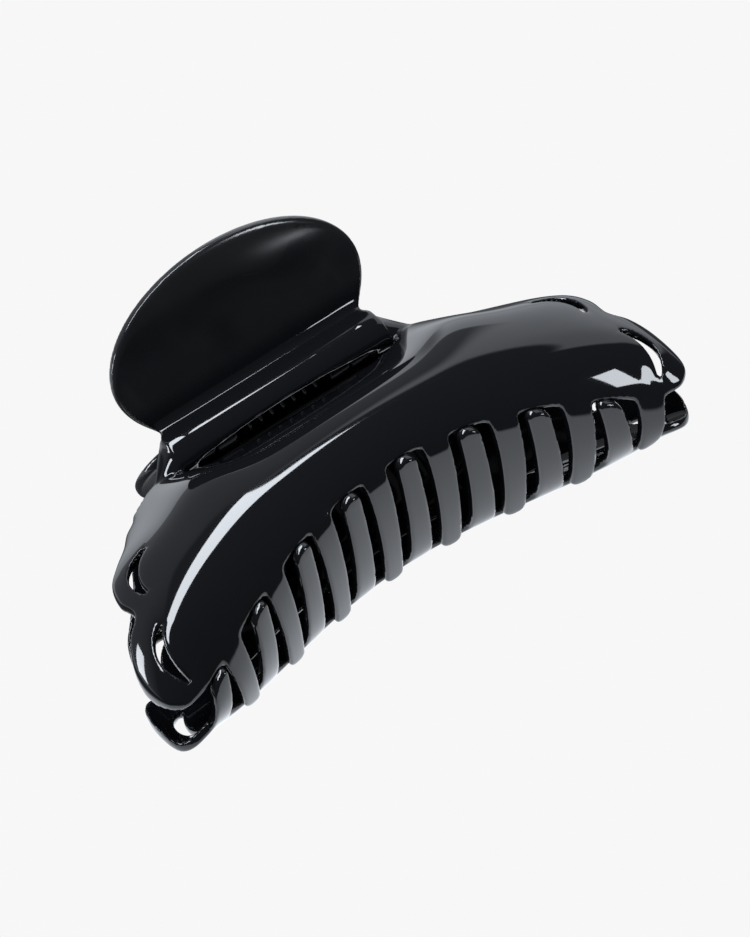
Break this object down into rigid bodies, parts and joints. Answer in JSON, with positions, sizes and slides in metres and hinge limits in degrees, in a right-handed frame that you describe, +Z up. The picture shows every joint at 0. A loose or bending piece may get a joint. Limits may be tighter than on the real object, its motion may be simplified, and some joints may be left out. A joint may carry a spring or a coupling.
{
  "type": "claw clip",
  "caption": "Large hair claw clip: two curved, toothed jaws on a sprung hinge, opened by squeezing two oval paddles.",
  "frame": {"origin": "bottom centre of the bounding box of the closed clip, as it lies on a table", "axes": "+X along the hinge pin, +Y from the teeth towards the hinge and paddles, +Z up as the closed clip lies on a table"},
  "size_m": [0.1212, 0.0784, 0.0586],
  "materials": {
    "jaw_plastic": "polished, injection moulded",
    "steel": "drawn wire, bright"
  },
  "bodies": {
    "lower": {"lower_jaw": "jaw_plastic", "hinge_pin": "steel", "torsion_spring": "steel"},
    "upper": {"upper_jaw": "jaw_plastic"}
  },
  "joints": [
    {"name": "jaw_hinge", "type": "hinge", "parent": "lower", "child": "upper", "pos_m": [0, 0.01546, 0.02578], "axis": [-1, 0, 0], "range_deg": [0, 50], "stiffness_Nm_per_rad": 0.04, "springref_deg": -40.11, "deforming": ["torsion_spring"]}
  ]
}
